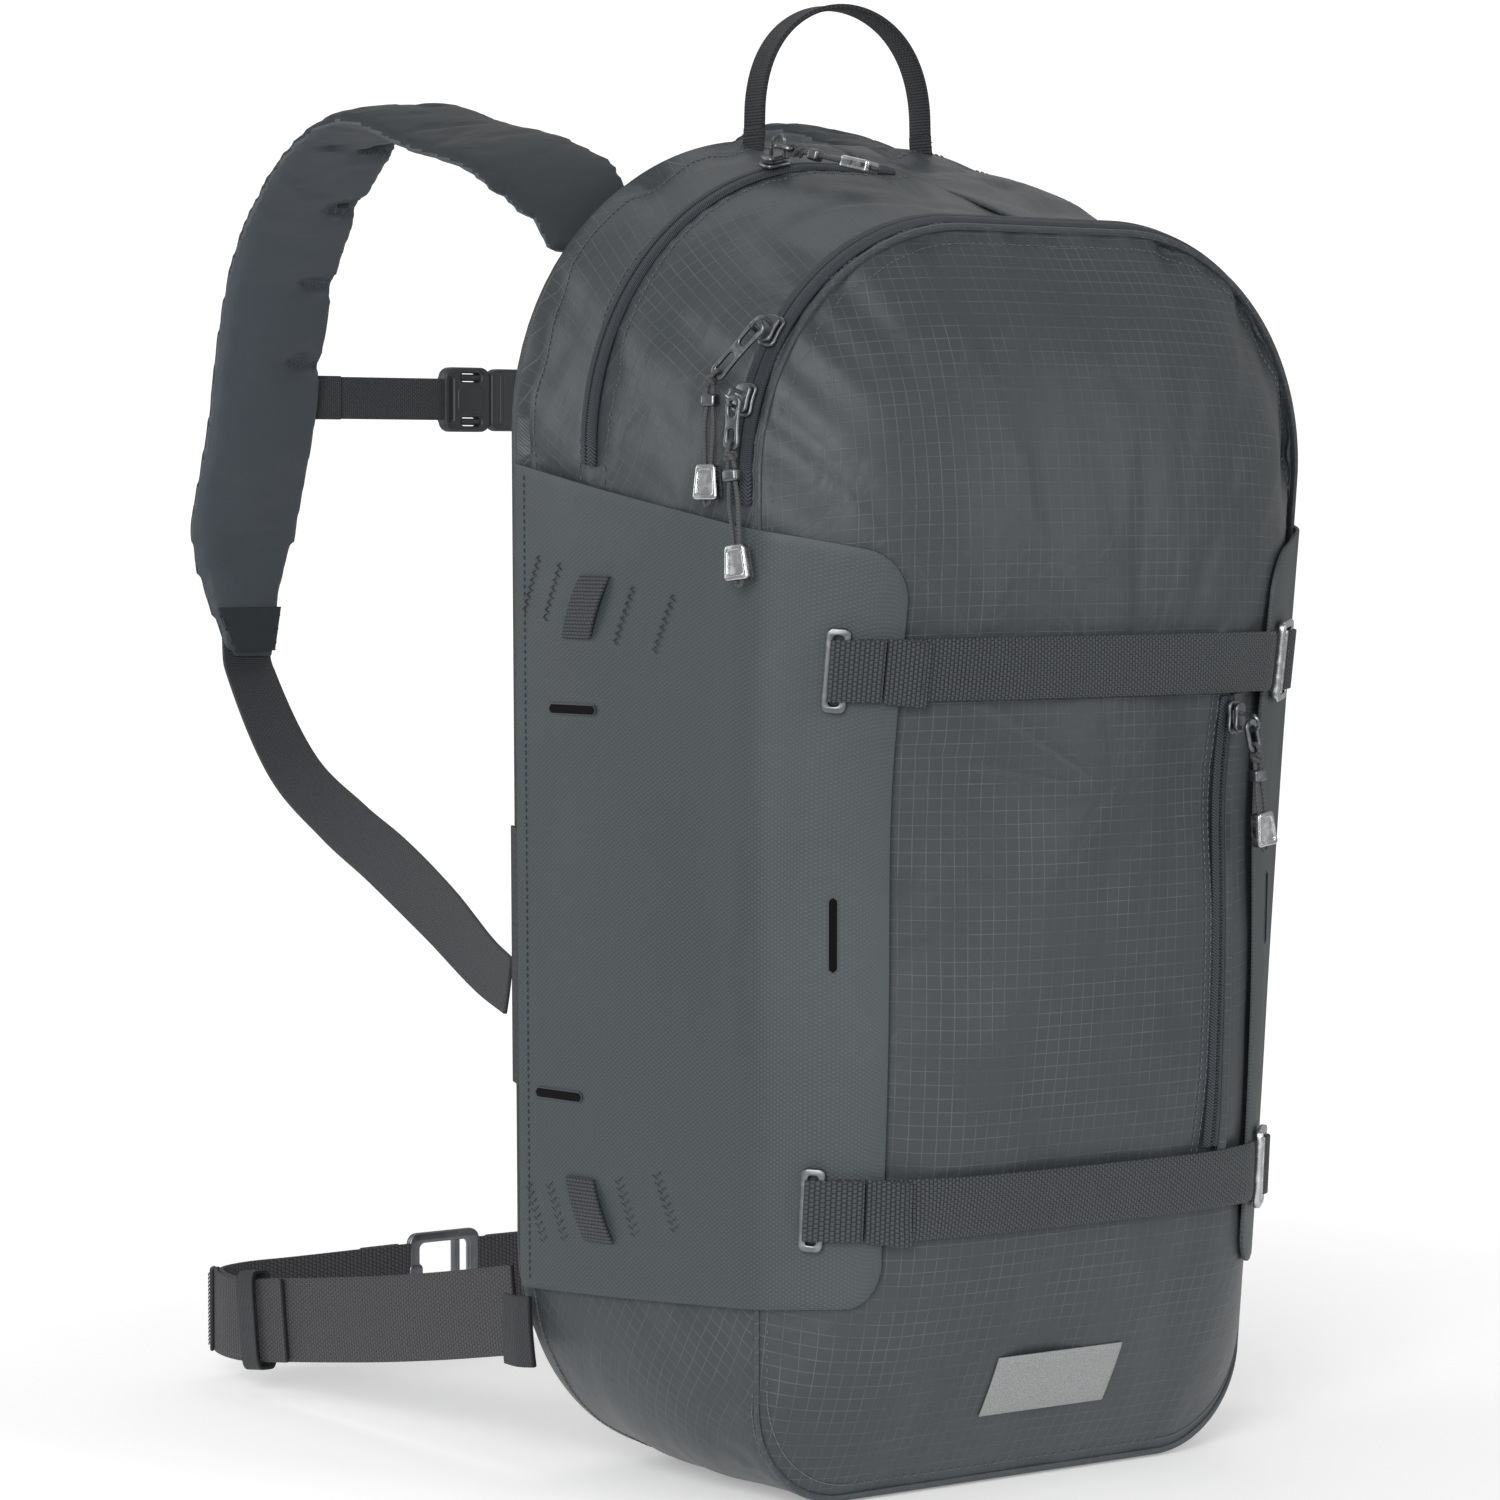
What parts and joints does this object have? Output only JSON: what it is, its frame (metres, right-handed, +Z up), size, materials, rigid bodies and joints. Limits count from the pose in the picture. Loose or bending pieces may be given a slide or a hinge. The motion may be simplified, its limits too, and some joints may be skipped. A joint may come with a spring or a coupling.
{
  "type": "ski touring backpack",
  "caption": "Panel-loading ski backpack with padded shoulder straps, hip belt, sternum strap, ski carrying side flaps, two compression straps, zip pulls with tags and a haul loop.",
  "frame": {"origin": "middle of the flat bottom the bag stands on", "axes": "+Z up; +Y towards the wearer's back and the shoulder straps; -Y to the outer front panel; -X to the wearer's left"},
  "size_m": [0.331, 0.5104, 0.6232],
  "materials": {
    "shell_fabric": "ripstop weave, matt",
    "lining_fabric": "plain weave and covered foam",
    "coated_fabric": "coated fabric with fine dots, slightly glossy",
    "strap_fabric": "knitted cover on foam",
    "webbing": "ribbed woven webbing",
    "polymer": "moulded, satin",
    "polished_steel": "polished, slightly worn",
    "dark_steel": "dark nickel, satin",
    "cord": "braided cord"
  },
  "bodies": {
    "bag": {"bag_shell": "shell_fabric", "front_panel": "shell_fabric", "frame_sheet": "polymer", "back_pad": "lining_fabric", "divider": "lining_fabric", "tool_sleeve": "lining_fabric", "left_flap": "coated_fabric", "right_flap": "coated_fabric", "left_upper_loop": "webbing", "left_lower_loop": "webbing", "right_upper_loop": "webbing", "right_lower_loop": "webbing", "front_label": "coated_fabric", "front_zip": "webbing", "rear_zip": "webbing", "pocket_zip": "webbing", "upper_ladder": "polished_steel", "lower_ladder": "polished_steel", "hip_tab_left": "webbing", "hip_tab_right": "webbing"},
    "haul": {"haul_loop": "webbing"},
    "harness": {"left_shoulder_strap": "strap_fabric", "right_shoulder_strap": "strap_fabric", "left_lower_webbing": "webbing", "right_lower_webbing": "webbing"},
    "sternum": {"sternum_left": "webbing", "sternum_socket": "polymer", "sternum_plug": "polymer", "sternum_right": "webbing"},
    "hips": {"hip_belt_left": "webbing", "hip_belt_right": "webbing", "hip_hook": "dark_steel", "hip_keeper": "webbing"},
    "upper_compression": {"upper_strap": "webbing", "upper_hook": "polished_steel"},
    "lower_compression": {"lower_strap": "webbing", "lower_hook": "polished_steel"},
    "front_upper_zip_slider": {"front_upper_slider": "dark_steel"},
    "front_upper_zip_pull": {"front_upper_pull": "dark_steel", "front_upper_cord": "cord", "front_upper_crimp": "dark_steel", "front_upper_tag": "polished_steel"},
    "front_lower_zip_slider": {"front_lower_slider": "dark_steel"},
    "front_lower_zip_pull": {"front_lower_pull": "dark_steel", "front_lower_cord": "cord", "front_lower_crimp": "dark_steel", "front_lower_tag": "polished_steel"},
    "pocket_zip_slider": {"pocket_slider": "dark_steel"},
    "pocket_zip_pull": {"pocket_pull": "dark_steel", "pocket_cord": "cord", "pocket_crimp": "dark_steel", "pocket_tag": "polished_steel"},
    "rear_zip_slider": {"rear_slider": "dark_steel"},
    "rear_zip_pull": {"rear_pull": "dark_steel", "rear_cord": "cord", "rear_crimp": "dark_steel", "rear_tag": "polished_steel"}
  },
  "joints": [
    {"name": "haul_loop_fold", "type": "hinge", "parent": "bag", "child": "haul", "pos_m": [0, 0.061, 0.567], "axis": [1, 0, 0], "range_deg": [-50, 80], "stiffness_Nm_per_rad": 0.1},
    {"name": "shoulder_straps_lean", "type": "hinge", "parent": "bag", "child": "harness", "pos_m": [0, 0.079, 0.545], "axis": [1, 0, 0], "range_deg": [-8, 8], "stiffness_Nm_per_rad": 20, "deforming": ["left_lower_webbing", "right_lower_webbing"]},
    {"name": "sternum_strap_height", "type": "slide", "parent": "harness", "child": "sternum", "axis": [0, 0.27, -0.9629], "range_m": [-0.025, 0.025]},
    {"name": "hip_belt_lift", "type": "hinge", "parent": "bag", "child": "hips", "pos_m": [0, 0.083, 0.067], "axis": [1, 0, 0], "range_deg": [-2, 35], "stiffness_Nm_per_rad": 6},
    {"name": "upper_strap_open", "type": "hinge", "parent": "bag", "child": "upper_compression", "pos_m": [0.0993, -0.10895, 0.3414], "axis": [0, -0.1509, 0.9885], "range_deg": [0, 85]},
    {"name": "lower_strap_open", "type": "hinge", "parent": "bag", "child": "lower_compression", "pos_m": [0.0996, -0.0976, 0.1258], "axis": [0, -0.058, 0.9983], "range_deg": [0, 85]},
    {"name": "front_upper_zip_run", "type": "hinge", "parent": "bag", "child": "front_upper_zip_slider", "pos_m": [-0.0434, -0.067, 0.4208], "axis": [0, 0.9987, 0.0505], "range_deg": [0, 55]},
    {"name": "front_lower_zip_run", "type": "slide", "parent": "bag", "child": "front_lower_zip_slider", "axis": [-0.26, 0.0488, -0.9644], "range_m": [0, 0.018]},
    {"name": "pocket_zip_run", "type": "slide", "parent": "bag", "child": "pocket_zip_slider", "axis": [0, 0.035, -0.9994], "range_m": [0, 0.16]},
    {"name": "rear_zip_run", "type": "hinge", "parent": "bag", "child": "rear_zip_slider", "pos_m": [-0.0433, 0.018, 0.4318], "axis": [0, 0.9998, 0.0201], "range_deg": [-70, 0]},
    {"name": "front_upper_pull_lift", "type": "hinge", "parent": "front_upper_zip_slider", "child": "front_upper_zip_pull", "pos_m": [-0.13893, -0.07327, 0.47881], "axis": [-0.1505, 0.7256, 0.6714], "range_deg": [0, 90]},
    {"name": "front_lower_pull_lift", "type": "hinge", "parent": "front_lower_zip_slider", "child": "front_lower_zip_pull", "pos_m": [-0.15137, -0.0717, 0.44986], "axis": [-0.287, 0.9565, 0.0518], "range_deg": [0, 90]},
    {"name": "pocket_pull_lift", "type": "hinge", "parent": "pocket_zip_slider", "child": "pocket_zip_pull", "pos_m": [0.06998, -0.12794, 0.31831], "axis": [-0.9656, -0.0966, -0.2414], "range_deg": [0, 90]},
    {"name": "rear_pull_lift", "type": "hinge", "parent": "rear_zip_slider", "child": "rear_zip_pull", "pos_m": [-0.06916, 0.01288, 0.55585], "axis": [-0.915, -0.3914, 0.0979], "range_deg": [0, 90]}
  ]
}
